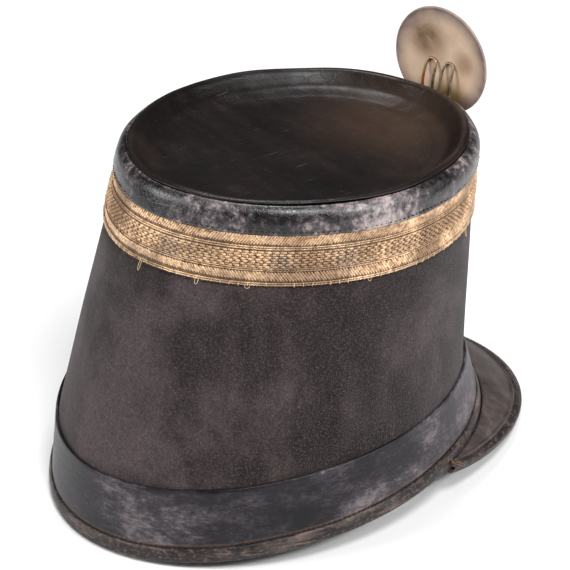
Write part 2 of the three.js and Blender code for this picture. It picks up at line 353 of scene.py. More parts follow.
def worn_band_finish():
    made = Finish("streaked_band_leather", Specular_IOR_Level=0.24)
    streaks = made.cloud(made.stretched(made.place, (26.0, 26.0, 90.0)), 1.0, detail=10.0, roughness=0.74)
    blotches = made.cloud(made.place, 24.0, detail=9.0, roughness=0.66, distortion=0.5)
    grain = made.cloud(made.place, 900.0, detail=3.0)
    specks = made.cloud(made.stretched(made.place, (330.0, 330.0, 760.0)), 1.0, detail=4.0, roughness=0.8)
    wear = made.sum(made.sum(blotches, 0.55, "MULTIPLY"), made.sum(streaks, 0.45, "MULTIPLY"))
    wear = made.sum(wear, made.sum(made.sum(specks, 0.5, "SUBTRACT"), 0.32, "MULTIPLY"))
    colour = made.ramp(wear, (0.4, srgb(14, 12, 16)), (0.48, srgb(32, 28, 34)), (0.55, srgb(60, 55, 60)),
                       (0.66, srgb(118, 109, 111)))
    foot = made.node("SeparateXYZ", Vector=made.strip).outputs[1]
    edge = made.ramp(made.sum(foot, 30.0, "MULTIPLY"), (0.02, 0.6), (0.06, 0.0))
    colour = made.mix(made.sum(edge, specks, "MULTIPLY"), colour, srgb(150, 122, 104))
    rough = made.ramp(wear, (0.42, 0.3), (0.65, 0.58))
    relief = made.bump(streaks, 0.0009, 0.4, made.bump(grain, 0.00015, 0.5))
    return made.finish(colour, rough, relief)


def base_band():
    angle = circle_of_angles()
    away = outward(angle)
    foot = 0.0069
    rings = [low_point(angle, 0.0006, foot), low_point(angle, 0.0002, foot + 0.0006)]
    rings += [low_point(angle, 0.0, foot + 0.0016)]
    rings += [band_point(angle, 0.0, share) for share in np.linspace(0.34, 0.985, 16)]
    rings = [uneven(ring, away, 0.0004, 0.03, 2) for ring in rings]
    rings += [band_point(angle, 0.00025, 1.0), band_point(angle, BAND_THICKNESS, 1.0)]
    rings += [band_point(angle, BAND_THICKNESS, 0.6), low_point(angle, BAND_THICKNESS, foot)]
    return ring_shell("base_band", rings)


band = base_band()
band.data.materials.append(worn_band_finish())
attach(band, "root")
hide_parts("bottom_band")

# ------------------------------------------------------------------ base roll
# A narrow strip of leather folded over the raw lower edge of the wall and sewn through, so that it
# stands a little proud as a roll. Dark thread lies in the groove above it.

ROLL_SECTION = [(-0.0002, 0.0066), (-0.0009, 0.0050), (-0.0009, 0.0026), (-0.0005, 0.0008), (0.0006, 0.0),
                (0.0030, -0.0), (0.0046, 0.0001), (0.0054, 0.0012), (0.0052, 0.0055), (0.0043, 0.0055),
                (0.0042, 0.0016), (0.0011, 0.0015), (0.0010, 0.0062)]


def dark_leather_finish():
    made = Finish("dark_bound_leather", Specular_IOR_Level=0.26)
    wear = made.cloud(made.place, 55.0, detail=7.0, roughness=0.66)
    streaks = made.cloud(made.stretched(made.place, (30.0, 30.0, 260.0)), 1.0, detail=7.0, roughness=0.7)
    grain = made.cloud(made.place, 800.0, detail=3.0)
    colour = made.ramp(wear, (0.34, srgb(18, 15, 16)), (0.56, srgb(40, 34, 34)), (0.74, srgb(86, 75, 72)))
    colour = made.mix(made.ramp(streaks, (0.54, 0.0), (0.68, 0.75)), colour, srgb(120, 104, 98))
    specks = made.cloud(made.stretched(made.place, (380.0, 380.0, 700.0)), 1.0, detail=4.0, roughness=0.8)
    colour = made.mix(made.ramp(specks, (0.5, 0.0), (0.72, 0.65)), colour, srgb(128, 110, 102))
    rough = made.ramp(wear, (0.3, 0.34), (0.75, 0.6))
    return made.finish(colour, rough, made.bump(streaks, 0.0006, 0.4, made.bump(grain, 0.00012, 0.5)))


dark_leather = dark_leather_finish()


def base_roll():
    angle = circle_of_angles()
    rings = [low_point(angle, inset, max(height, 0.0)) for inset, height in rounded(ROLL_SECTION, 3)]
    return ring_shell("base_roll", rings)


roll = base_roll()
roll.data.materials.append(dark_leather)
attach(roll, "root")
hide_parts("base_binding")


def thread_shape(name, sides=6, rows=5):
    """One stitch, a short thread with round ends, one metre long, to be scaled."""
    points, faces = [(-0.5, 0.0, 0.0)], []
    for row in range(1, rows):
        lean = math.pi * row / rows
        for side in range(sides):
            turn = 2 * math.pi * side / sides
            points.append((-0.5 * math.cos(lean), 0.5 * math.sin(lean) ** 0.6 * math.cos(turn),
                           0.5 * math.sin(lean) ** 0.6 * math.sin(turn)))
    points.append((0.5, 0.0, 0.0))
    last = len(points) - 1
    for side in range(sides):
        after = (side + 1) % sides
        faces.append((0, 1 + after, 1 + side))
        faces.append((last, last - sides + side, last - sides + after))
        for row in range(rows - 2):
            a, b = 1 + row * sides + side, 1 + row * sides + after
            faces.append((a, b, b + sides, a + sides))
    piece = plain_mesh(name, points, faces)
    face_outwards(piece)
    return piece


def repeat_tree():
    """Geometry nodes that lay copies of a small shape at even steps along a line on the cap."""
    tree = bpy.data.node_groups.new("lay_along_line", "GeometryNodeTree")
    face = tree.interface
    face.new_socket("Geometry", in_out="OUTPUT", socket_type="NodeSocketGeometry")
    face.new_socket("Line", in_out="INPUT", socket_type="NodeSocketGeometry")
    for name, kind in (("Shape", "Object"), ("Material", "Material"), ("Count", "Int"), ("Size", "Vector"),
                       ("Lean", "Float"), ("Size Change", "Float"), ("Lean Change", "Float"), ("Seed", "Int")):
        face.new_socket(name, in_out="INPUT", socket_type="NodeSocket" + kind)

    def add(kind, **inputs):
        made = tree.nodes.new(kind)
        for name, value in inputs.items():
            target = made.inputs[int(name[1:]) if name[0] == "_" else name.replace("_", " ")]
            if isinstance(value, bpy.types.NodeSocket):
                tree.links.new(value, target)
            else:
                target.default_value = value
        return made

    given = tree.nodes.new("NodeGroupInput").outputs
    line = add("GeometryNodeMeshToCurve", Mesh=given["Line"])
    steps = add("GeometryNodeResampleCurve", Curve=line.outputs[0], Count=given["Count"])
    tangent = add("GeometryNodeInputTangent").outputs[0]
    away = add("GeometryNodeInputNamedAttribute", Name="away")
    away.data_type = "FLOAT_VECTOR"
    along = add("FunctionNodeAlignRotationToVector", Vector=tangent)
    along.axis = "X"
    facing = add("FunctionNodeAlignRotationToVector", Rotation=along.outputs[0], Vector=away.outputs[0])
    facing.axis = "Z"
    facing.pivot_axis = "X"
    sway = add("FunctionNodeRandomValue", Seed=given["Seed"])
    sway.data_type = "FLOAT"
    sway.inputs[2].default_value = -1.0
    sway.inputs[3].default_value = 1.0
    swayed = add("ShaderNodeMath", _0=sway.outputs[1], _1=given["Lean Change"])
    swayed.operation = "MULTIPLY"
    lean = add("ShaderNodeMath", _0=given["Lean"], _1=swayed.outputs[0])
    turn = add("FunctionNodeAxisAngleToRotation", Axis=(0.0, 0.0, 1.0), Angle=lean.outputs[0])
    turned = add("FunctionNodeRotateRotation", Rotation=facing.outputs[0], Rotate_By=turn.outputs[0])
    turned.rotation_space = "LOCAL"
    more_seed = add("ShaderNodeMath", _0=given["Seed"], _1=17.0)
    change = add("FunctionNodeRandomValue", Seed=more_seed.outputs[0])
    change.data_type = "FLOAT"
    change.inputs[2].default_value = -1.0
    change.inputs[3].default_value = 1.0
    spread = add("ShaderNodeMath", _0=change.outputs[1], _1=given["Size Change"])
    spread.operation = "MULTIPLY"
    grown = add("ShaderNodeMath", _0=spread.outputs[0], _1=1.0)
    size = add("ShaderNodeVectorMath", _0=given["Size"])
    size.operation = "SCALE"
    tree.links.new(grown.outputs[0], size.inputs["Scale"])
    shape = add("GeometryNodeObjectInfo", Object=given["Shape"])
    laid = add("GeometryNodeInstanceOnPoints", Points=steps.outputs[0], Instance=shape.outputs["Geometry"],
               Rotation=turned.outputs[0], Scale=size.outputs[0])
    solid = add("GeometryNodeRealizeInstances", Geometry=laid.outputs[0])
    coloured = add("GeometryNodeSetMaterial", Geometry=solid.outputs[0], Material=given["Material"])
    result = tree.nodes.new("NodeGroupOutput")
    tree.links.new(coloured.outputs[0], result.inputs[0])
    return tree


lay_along_line = repeat_tree()
thread = thread_shape("thread_shape")


def lay_along(name, line, away, shape, material, count, size, lean=0.0, size_change=0.0,
              lean_change=0.0, seed=1, closed=True):
    """Lays copies of a shape along a line of points and returns them as one plain mesh piece."""
    mesh = bpy.data.meshes.new(name)
    edges = [(i, i + 1) for i in range(len(line) - 1)]
    if closed:
        edges.append((len(line) - 1, 0))
    mesh.from_pydata([tuple(p) for p in line], edges, [])
    facing = mesh.attributes.new("away", "FLOAT_VECTOR", "POINT")
    facing.data.foreach_set("vector", np.asarray(away, dtype=float).ravel())
    guide = bpy.data.objects.new(name + "_guide", mesh)
    bpy.context.scene.collection.objects.link(guide)
    lay = guide.modifiers.new("lay", "NODES")
    lay.node_group = lay_along_line
    sockets = {item.name: item.identifier for item in lay_along_line.interface.items_tree}
    inputs = {"Shape": shape, "Material": material, "Count": count, "Size": size, "Lean": lean,
              "Size Change": size_change, "Lean Change": lean_change, "Seed": seed}
    for key, value in inputs.items():
        lay[sockets[key]] = value
    ready = guide.evaluated_get(bpy.context.evaluated_depsgraph_get())
    plain = bpy.data.meshes.new_from_object(ready)
    bpy.data.objects.remove(guide)
    plain.polygons.foreach_set("material_index", [0] * len(plain.polygons))
    plain.materials.clear()
    plain.materials.append(material)
    plain.shade_smooth()
    piece = bpy.data.objects.new(name, plain)
    bpy.context.scene.collection.objects.link(piece)
    return piece


def thread_finish(name, light, dark, roughness=0.8, metallic=0.0):
    made = Finish(name, Metallic=metallic)
    fibres = made.cloud(made.place, 1500.0, detail=3.0)
    soil = made.cloud(made.place, 60.0, detail=4.0)
    colour = made.mix(soil, made.ramp(fibres, (0.3, dark), (0.7, light)), dark)
    return made.finish(colour, roughness, made.bump(fibres, 0.0002, 0.6))


waxed_thread = thread_finish("waxed_dark_thread", srgb(58, 48, 44), srgb(22, 18, 18))
around = circle_of_angles(720)
roll_stitches = lay_along("roll_stitches", low_point(around, -0.0001, 0.0073), outward(around), thread,
                          waxed_thread, 250, (0.0016, 0.0006, 0.0005), size_change=0.15, seed=3)
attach(roll_stitches, "root")

# ------------------------------------------------------------------ lace
# A woven band of tarnished metal thread, sewn flat round the top of the wall. Its middle is a
# basket weave between fine double cords, its borders are twilled on the slant, and pale thread
# whips its lower edge to the cloth.

LACE_TOP = 0.0067
LACE_WIDTH = 0.0207
LACE_FACE = 0.0002
LACE_ROUND = 0.48
BORDER_WIDTH = 0.0044
WEAVE_ROWS = 7
BUNDLES_ROUND = 160
CORD_GAP = 0.00085


def lace_finish(name, light, middle, dark, metallic=0.5):
    made = Finish(name, Metallic=metallic, Specular_IOR_Level=0.5)
    tarnish = made.cloud(made.place, 42.0, detail=6.0, roughness=0.65)
    threads = made.cloud(made.place, 620.0, detail=3.0, roughness=0.7)
    colour = made.ramp(threads, (0.32, dark), (0.5, middle), (0.7, light))
    colour = made.mix(made.ramp(tarnish, (0.42, 0.75), (0.62, 0.0)), colour, dark)
    for spot in LACE_STAINS:
        colour = made.mix(made.sum(made.near(spot, 0.001, 0.008), 0.45, "MULTIPLY"), colour, srgb(84, 74, 76))
    return made.finish(colour, made.ramp(tarnish, (0.35, 0.62), (0.7, 0.4)), made.bump(threads, 0.0002, 0.5))


LACE_STAINS = [tuple(high_point(np.array([math.radians(degrees)]), 0.0, 0.017)[0])
               for degrees in (107, 141, 160, -20, 15)]


def bundle_shape(name):
    """One basket bundle: a flat pillow with a square outline, one metre a side, to be scaled."""
    shape = bmesh.new()
    bmesh.ops.create_cube(shape, size=1.0)
    bmesh.ops.bevel(shape, geom=shape.edges[:], offset=0.2, segments=1, affect="EDGES")
    mesh = bpy.data.meshes.new(name)
    shape.to_mesh(mesh)
    shape.free()
    mesh.shade_smooth()
    piece = bpy.data.objects.new(name, mesh)
    bpy.context.scene.collection.objects.link(piece)
    return piece


def lace_ground():
    angle = circle_of_angles()
    away = outward(angle)
    low = LACE_TOP + LACE_WIDTH
    rings = [high_point(angle, 0.0005, LACE_TOP), high_point(angle, LACE_FACE + 0.0001, LACE_TOP + 0.0003)]
    rings += [high_point(angle, LACE_FACE, LACE_TOP + part)
              for part in np.linspace(0.001, LACE_WIDTH - 0.001, 12)]
    rings += [high_point(angle, LACE_FACE + 0.0001, low - 0.0003), high_point(angle, 0.0006, low)]
    rings += [high_point(angle, 0.001, low - 0.0003), high_point(angle, 0.001, LACE_TOP + 0.0003)]
    return ring_shell("lace_ground", [uneven(ring, away, 0.0002, 0.02, 4) for ring in rings])


lace_gold = lace_finish("tarnished_lace", srgb(255, 230, 194), srgb(236, 198, 158), srgb(124, 94, 70), 0.38)
lace_dull = lace_finish("tarnished_lace_ground", srgb(150, 116, 84), srgb(104, 78, 54), srgb(56, 40, 28),
                        0.15)
pale_thread = thread_finish("pale_silk_thread", srgb(238, 216, 172), srgb(190, 158, 112), 0.6)
ground = lace_ground()
ground.data.materials.append(lace_dull)
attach(ground, "root")
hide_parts("lace_band")

bundle = bundle_shape("bundle_shape")
weave_top = LACE_TOP + BORDER_WIDTH + 2 * CORD_GAP + 0.0002
weave_bottom = LACE_TOP + LACE_WIDTH - BORDER_WIDTH - 2 * CORD_GAP - 0.0014
row_height = (weave_bottom - weave_top) / WEAVE_ROWS
step_angle = 2 * math.pi / BUNDLES_ROUND


def joined(name, parts):
    """Puts several meshes into one piece."""
    material = parts[0].data.materials[0]
    shape = bmesh.new()
    for part in parts:
        shape.from_mesh(part.data)
        bpy.data.objects.remove(part)
    mesh = bpy.data.meshes.new(name)
    shape.to_mesh(mesh)
    shape.free()
    mesh.materials.append(material)
    mesh.shade_smooth()
    piece = bpy.data.objects.new(name, mesh)
    bpy.context.scene.collection.objects.link(piece)
    return piece


def basket_weave():
    rows = []
    for row in range(WEAVE_ROWS):
        drop = weave_top + (row + 0.5) * row_height
        for proud in (0, 1):
            start = around + step_angle * (0.5 if (row + proud) % 2 else 0.0)
            height = LACE_FACE - (0.00025 if proud else 0.0)
            length = LACE_ROUND / BUNDLES_ROUND * (0.62 if proud else 0.46)
            size = (length, row_height * (0.82 if proud else 0.5), 0.001 if proud else 0.0005)
            rows.append(lay_along(f"weave_{row}_{proud}", high_point(start, height, drop), outward(start),
                                  bundle, lace_gold, BUNDLES_ROUND, size, size_change=0.08,
                                  lean_change=0.05, seed=20 + row * 2 + proud))
    return joined("lace_weave", rows)


def twilled_borders():
    upper = LACE_TOP + BORDER_WIDTH / 2
    lower = LACE_TOP + LACE_WIDTH - 0.0014 - BORDER_WIDTH / 2
    borders = [lay_along("twill", high_point(around, LACE_FACE, drop), outward(around), thread, lace_gold,
                         400, (BORDER_WIDTH * 1.32, 0.0011, 0.0009), lean=lean, size_change=0.06,
                         lean_change=0.05, seed=5) for drop, lean in ((upper, 0.95), (lower, -0.95))]
    return joined("lace_borders", borders)


def lace_cords():
    drops = (LACE_TOP + 0.0002, LACE_TOP + BORDER_WIDTH + 0.0003, LACE_TOP + BORDER_WIDTH + 0.0003 + CORD_GAP,
             weave_bottom + 0.0004, weave_bottom + 0.0004 + CORD_GAP, LACE_TOP + LACE_WIDTH - 0.001,
             LACE_TOP + LACE_WIDTH - 0.0002)
    cords = [lay_along("cord", high_point(around, LACE_FACE - 0.0001, drop), outward(around), thread,
                       lace_gold, 360, (0.0017, 0.00055, 0.0007), lean=0.22, size_change=0.08, seed=30 + number)
             for number, drop in enumerate(drops)]
    return joined("lace_cords", cords)


for woven in (basket_weave(), twilled_borders(), lace_cords()):
    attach(woven, "root")
whip = lay_along("lace_whip_stitches", high_point(around, LACE_FACE - 0.0001, LACE_TOP + LACE_WIDTH - 0.0003),
                 outward(around), thread, pale_thread, 132, (0.0016, 0.00035, 0.0007), lean=1.45,
                 size_change=0.3, lean_change=0.3, seed=9)
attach(whip, "root")

# ------------------------------------------------------------------ crown band
# The leather of the top is turned down over the crown edge in a soft round shoulder, and sewn
# through near its lower edge. Wear has taken the black off the shoulder and left it mottled grey.
# Two pale spots on one side of the shoulder are painted highlight, and a faint dark spot further
# round is painted shade.

CROWN_BAND_SECTION = [(-0.0003, -0.0064), (-0.0007, -0.0056), (-0.0009, -0.0036), (-0.0010, -0.0004),
                      (-0.0001, 0.0022), (0.0014, 0.0040), (0.0031, 0.0049), (0.0037, 0.0041), (0.0022, 0.0030),
                      (0.0009, 0.0015), (0.00025, -0.0006), (0.0009, -0.0062)]


def worn_crown_finish():
    made = Finish("crown_leather_wear_and_painted_light", Specular_IOR_Level=0.45, Coat_Weight=0.25, Coat_Roughness=0.3)
    mottle = made.cloud(made.place, 75.0, detail=9.0, roughness=0.72, distortion=0.6)
    regions = made.cloud(made.place, 14.0, detail=3.0, roughness=0.5)
    cracks = made.node("TexVoronoi", {"feature": "DISTANCE_TO_EDGE"}, Vector=made.place, Scale=520.0)
    grain = made.cloud(made.place, 700.0, detail=3.0)
    paleness = made.sum(made.sum(mottle, 0.72, "MULTIPLY"), made.sum(regions, 0.42, "MULTIPLY"))
    fleck = made.cloud(made.place, 330.0, detail=5.0, roughness=0.75)
    paleness = made.sum(paleness, made.sum(made.sum(fleck, 0.5, "SUBTRACT"), 0.62, "MULTIPLY"))
    # Painted light: the two pale spots stand in for a highlight on the shoulder, and the dark one stands in for
    # shade.
    for degrees, strength in ((166, 0.09), (176, 0.06), (100, -0.03)):
        painted_light_and_shade_spot = tuple(high_point(np.array([math.radians(degrees)]), 0.0, 0.002)[0])
        paleness = made.sum(paleness, made.sum(made.near(painted_light_and_shade_spot, 0.006, 0.03), strength, "MULTIPLY"))
    colour = made.ramp(paleness, (0.47, srgb(10, 8, 10)), (0.57, srgb(30, 26, 28)), (0.655, srgb(74, 66, 68)),
                       (0.79, srgb(158, 146, 144)))
    rough = made.ramp(paleness, (0.46, 0.24), (0.7, 0.5))
    relief = made.bump(mottle, 0.0006, 0.2, made.bump(grain, 0.0002, 0.3))
    relief = made.bump(made.ramp(cracks.outputs[0], (0.0, 0.0), (0.12, 1.0)), 0.00012, 0.4, relief)
    return made.finish(colour, rough, relief)


def crown_band():
    angle = circle_of_angles()
    away = outward(angle)
    rings = []
    for inset, rise in rounded(CROWN_BAND_SECTION, 4):
        place = high_point(angle, inset, -rise) if rise < 0 else rim_point(angle, inset, rise)
        rings.append(uneven(place, away, 0.0005, 0.022, 6))
    return ring_shell("crown_band", rings)


shoulder = crown_band()
shoulder.data.materials.append(worn_crown_finish())
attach(shoulder, "root")
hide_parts("top_band")
shoulder_stitches = lay_along("crown_band_stitches", high_point(around, -0.00075, 0.0050),
                              outward(around), thread, waxed_thread, 215, (0.0013, 0.0006, 0.0007), size_change=0.25, seed=11)
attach(shoulder_stitches, "root")

# ------------------------------------------------------------------ crown disc
# The top is one piece of black lacquered leather, blocked into a shallow dish with a raised round
# rim. Its floor is not quite flat, and the lacquer is finely scratched and crazed. A soft brown patch
# on the front of the floor is a painted reflection.

DISC_SECTION = [(0.0200, -0.0019), (0.0130, 0.0002), (0.0094, 0.0033), (0.0073, 0.0056), (0.0060, 0.0063),
                (0.0046, 0.0062), (0.0036, 0.0055), (0.0043, 0.0043), (0.0027, 0.0028), (0.0016, 0.0002),
                (0.0086, 0.0), (0.0130, -0.0018), (0.0200, -0.0037)]


def lacquer_finish():
    made = Finish("black_lacquer", Specular_IOR_Level=0.25, Coat_Weight=0.05, Coat_Roughness=0.2)
    age = made.cloud(made.place, 26.0, detail=6.0, roughness=0.6)
    brush = made.cloud(made.stretched(made.place, (24.0, 90.0, 60.0)), 1.0, detail=8.0, roughness=0.75)
    fine = made.cloud(made.place, 300.0, detail=5.0, roughness=0.7)
    crazing = made.node("TexVoronoi", {"feature": "DISTANCE_TO_EDGE"}, Vector=made.place, Scale=170.0,
                        Randomness=1.0)
    scratches = made.cloud(made.stretched(made.place, (1100.0, 60.0, 60.0)), 1.0, detail=3.0, distortion=0.3)
    lines = made.ramp(scratches, (0.66, 0.0), (0.74, 1.0))
    colour = made.ramp(age, (0.35, srgb(10, 6, 6)), (0.55, srgb(20, 14, 13)), (0.75, srgb(40, 30, 26)))
    colour = made.mix(made.ramp(fine, (0.62, 0.0), (0.8, 0.4)), colour, srgb(74, 64, 60))
    # Painted reflection: a soft brown patch on the front of the dish floor.
    painted_reflection_spot = tuple(rim_point(np.array([FRONT]), 0.032, 0.0)[0])
    brown = made.sum(made.near(painted_reflection_spot, 0.004, 0.05), 0.5, "MULTIPLY")
    colour = made.mix(brown, colour, srgb(66, 48, 35))
    colour = made.mix(made.sum(lines, 0.22, "MULTIPLY"), colour, srgb(112, 100, 96))
    rough = made.ramp(brush, (0.3, 0.26), (0.7, 0.5))
    dents = made.cloud(made.place, 30.0, detail=2.0, roughness=0.5, distortion=0.2)
    wrinkles = made.cloud(made.stretched(made.place, (70.0, 120.0, 70.0)), 1.0, detail=10.0, roughness=0.7,
                          distortion=0.5)
    relief = made.bump(wrinkles, 0.0004, 0.5, made.bump(dents, 0.003, 0.7))
    relief = made.bump(made.ramp(crazing.outputs[0], (0.0, 0.0), (0.06, 1.0)), 0.0001, 0.35, relief)
    relief = made.bump(lines, 0.00008, 0.35, relief)
    return made.finish(colour, rough, relief)


def crown_disc():
    angle = circle_of_angles()
    upper = [(0.0400, -0.0025), (0.0340, -0.0024), (0.0280, -0.0022)]
    lower = [(0.0280, -0.0040), (0.0340, -0.0042), (0.0400, -0.0043)]
    spans = rounded(DISC_SECTION, 5)[: 5 * (len(DISC_SECTION) - 1) + 1]
    rings = [rim_point(angle, inset, rise) for inset, rise in [*upper, *spans, *lower]]
    middle = rings[0].mean(axis=0)
    under = rings[-1].mean(axis=0)
    rings = [middle + (rings[0] - middle) * share for share in np.linspace(0.06, 0.94, 14)] + rings
    rings += [under + (rings[-1] - under) * share for share in np.linspace(0.9, 0.1, 5)]
    upright = np.array([0.0, 0.0, 1.0])
    rings = [uneven(ring, upright, 0.0009, 0.035, 8) for ring in rings]
    return ring_shell("crown_disc", rings, endless=False)


disc = crown_disc()
disc.data.materials.append(lacquer_finish())
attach(disc, "root")
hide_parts("crown_top")

# ------------------------------------------------------------------ peak
# A small stiff leather peak, sewn to the front of the base and sloping down. Its edge is bound
# with a folded strip, and a raised line runs inside the binding.

PEAK_REACH = 0.0274
PEAK_HALF_ANGLE = 1.234
PEAK_OUTLINE_POWER = 0.64
PEAK_FAN = 0.22
PEAK_ROOT_HEIGHT = 0.00146
PEAK_ROOT_OUTSET = 0.00125
PEAK_TIP_HEIGHT = 0.001
PEAK_THICKNESS = 0.0016
PEAK_EDGE_WIDTH = 0.006
PEAK_EDGE_THICKNESS = 0.00075
peak_root_z = BASE_FRONT_RISE + PEAK_ROOT_HEIGHT
PEAK_SLOPE = math.atan2(peak_root_z - PEAK_TIP_HEIGHT, PEAK_REACH)


def peak_depth(share):
    return PEAK_REACH * math.cos(share * math.pi / 2) ** PEAK_OUTLINE_POWER / math.cos(PEAK_SLOPE)


def peak_point(share, along, off):
    turn = share * PEAK_HALF_ANGLE
    root = low_point(np.array([FRONT + turn]), -PEAK_ROOT_OUTSET, PEAK_ROOT_HEIGHT)[0]
    plan = np.array([PEAK_FAN * math.sin(turn), -math.cos(PEAK_FAN * turn), 0.0])
    plan /= np.linalg.norm(plan)
    reach = along * math.cos(PEAK_SLOPE) + off * math.sin(PEAK_SLOPE)
    fall = along * math.sin(PEAK_SLOPE) - off * math.cos(PEAK_SLOPE)
    return root + plan * reach - np.array([0.0, 0.0, fall])


def peak_shell(name, reach, steps, section_at):
    """Closed solid through cross sections from one end of the peak to the other."""
    loops = []
    for step in range(steps + 1):
        share = reach * math.sin(math.pi / 2 * (2 * step / steps - 1))
        loops.append([peak_point(share, along, off) for along, off in section_at(share)])
    count = len(loops[0])
    points = [point for loop in loops for point in loop]
    faces = [tuple(range(count)), tuple(range(steps * count, (steps + 1) * count))[::-1]]
    for step in range(steps):
        for i in range(count):
            j = (i + 1) % count
            here, after = step * count, (step + 1) * count
            faces.append((here + j, here + i, after + i, after + j))
    piece = plain_mesh(name, points, faces)
    face_outwards(piece)
    return piece


def peak_body_section(share):
    half = PEAK_THICKNESS / 2
    depth = peak_depth(share) - PEAK_EDGE_THICKNESS - 0.0003
    ridge = depth - PEAK_EDGE_WIDTH + 0.0002
    line = [(0.0, half)]
    for part in np.linspace(0.04, 1.0, 30):
        along = depth * part
        camber = 0.0009 * math.sin(math.pi * min(along / max(depth, 0.001), 1.0))
        raised = 0.0009 * math.exp(-(((along - ridge) / 0.0009) ** 2)) if ridge > 0.003 else 0.0
        fade = min(1.0, max(0.0, (depth - along) / 0.004))
        line.append((along, half + camber * fade + raised))
    return line + [(depth, -half)] + [(depth * part, -half) for part in np.linspace(0.9, 0.0, 8)]


def peak_edge_section(share):
    depth = peak_depth(share)
    inner = PEAK_THICKNESS / 2 + 0.0003
    outer = inner + PEAK_EDGE_THICKNESS
    leg = max(depth - PEAK_EDGE_WIDTH, 0.0003)
    fold = depth - PEAK_EDGE_THICKNESS
    nose = [(depth - 0.0012 + 0.0012 * math.cos(turn), outer * math.sin(turn))
            for turn in np.linspace(math.pi / 2, -math.pi / 2, 11)]
    return [(leg, outer - 0.0003), (leg + 0.0004, outer)] + nose + [(leg + 0.0004, -outer), (leg, -inner),
            (fold, -inner), (fold, inner), (leg, inner)]


def peak_finish():
    made = Finish("brown_black_peak_leather", Specular_IOR_Level=0.3)
    mottle = made.cloud(made.place, 70.0, detail=8.0, roughness=0.7)
    stains = made.cloud(made.place, 24.0, detail=4.0)
    grain = made.cloud(made.place, 650.0, detail=4.0)
    colour = made.ramp(mottle, (0.32, srgb(36, 30, 28)), (0.5, srgb(62, 54, 52)), (0.72, srgb(98, 87, 85)))
    colour = made.mix(made.ramp(stains, (0.5, 0.0), (0.7, 0.6)), colour, srgb(76, 62, 52))
    relief = made.bump(mottle, 0.0009, 0.5, made.bump(grain, 0.00025, 0.6))
    return made.finish(colour, made.ramp(mottle, (0.3, 0.45), (0.75, 0.7)), relief)


peak = peak_shell("peak_leather", 0.95, 120, peak_body_section)
peak.data.materials.append(peak_finish())
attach(peak, "root")
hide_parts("peak")

peak_edge = peak_shell("peak_edge", 0.975, 140, peak_edge_section)
peak_edge.data.materials.append(dark_leather)
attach(peak_edge, "root")
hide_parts("peak_binding")


def peak_line(reach, setback, off, steps=240):
    """Points along the peak, set back from its outline, and the way the peak faces there."""
    shares = [reach * math.sin(math.pi / 2 * (2 * step / steps - 1)) for step in range(steps + 1)]
    line = [peak_point(share, max(peak_depth(share) - setback, 0.0012), off) for share in shares]
    facing = Vector((0.0, -math.sin(PEAK_SLOPE), math.cos(PEAK_SLOPE)))
    return line, [tuple(facing)] * len(line)


edge_line, edge_facing = peak_line(0.93, 0.0047, 0.00185)
edge_stitches = lay_along("peak_edge_stitches", edge_line, edge_facing, thread, waxed_thread, 110,
                          (0.0014, 0.0005, 0.0005), size_change=0.15, seed=13, closed=False)
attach(edge_stitches, "root")

# ------------------------------------------------------------------ cockade
# A thin, slightly domed disc of silvered brass with a rolled rim. Two wire hairpins are soldered to
# its back and go down into a flat leather slip at the front of the crown.

COCKADE_RADIUS = 0.0249
COCKADE_THICKNESS = 0.0008
COCKADE_DOME = 0.0012
COCKADE_BEAD = 0.00065
COCKADE_TURN = math.radians(11.5)
COCKADE_PLACE = (0.0085, -0.106, 0.1565)
HAIRPIN_WIRE = 0.00065
HAIRPIN_SPREAD = 0.0047
HAIRPIN_HALF_WIDTH = 0.0027
HAIRPIN_STAND_OFF = 0.0031
HAIRPIN_LENGTH = 0.034

cockade_middle = Vector((COCKADE_PLACE[0], COCKADE_PLACE[1] + CAP_MIDDLE_Y, COCKADE_PLACE[2] + TABLE_LIFT))
cockade_frame = Matrix.Translation(cockade_middle) @ Matrix.Rotation(COCKADE_TURN, 4, "Z") \
    @ Matrix.Rotation(math.pi / 2, 4, "X")


def turned_disc(name, profile, sides, frame_matrix):
    """Solid of revolution about local z through (radius, height) pairs that start and end on it."""
    points = [Vector((0.0, 0.0, profile[0][1]))]
    for radius, height in profile[1:-1]:
        for side in range(sides):
            turn = 2 * math.pi * side / sides
            points.append(Vector((radius * math.cos(turn), radius * math.sin(turn), height)))
    points.append(Vector((0.0, 0.0, profile[-1][1])))
    last = len(points) - 1
    faces = []
    for side in range(sides):
        after = (side + 1) % sides
        faces.append((0, 1 + side, 1 + after))
        faces.append((last, last - sides + after, last - sides + side))
        for row in range(len(profile) - 3):
            a, b = 1 + row * sides + side, 1 + row * sides + after
            faces.append((a, a + sides, b + sides, b))
    piece = plain_mesh(name, [frame_matrix @ p for p in points], faces)
    face_outwards(piece)
    return piece


def tube_along(name, path, radius, sides, frame_matrix):
    """Wire of round section along a list of points, closed at both ends."""
    points, faces = [], []
    side_way = None
    for i, here in enumerate(path):
        ahead = (path[min(i + 1, len(path) - 1)] - path[max(i - 1, 0)]).normalized()
        side_way = ahead.orthogonal() if side_way is None else side_way
        side_way = (side_way - ahead * side_way.dot(ahead)).normalized()
        up_way = ahead.cross(side_way)
        for side in range(sides):
            turn = 2 * math.pi * side / sides
            points.append(here + (side_way * math.cos(turn) + up_way * math.sin(turn)) * radius)
    for i in range(len(path) - 1):
        for side in range(sides):
            after = (side + 1) % sides
            here, ahead_of = i * sides, (i + 1) * sides
            faces.append((here + side, here + after, ahead_of + after, ahead_of + side))
    faces.append(tuple(range(sides))[::-1])
    faces.append(tuple(range((len(path) - 1) * sides, len(path) * sides)))
    piece = plain_mesh(name, [frame_matrix @ p for p in points], faces)
    face_outwards(piece)
    return piece


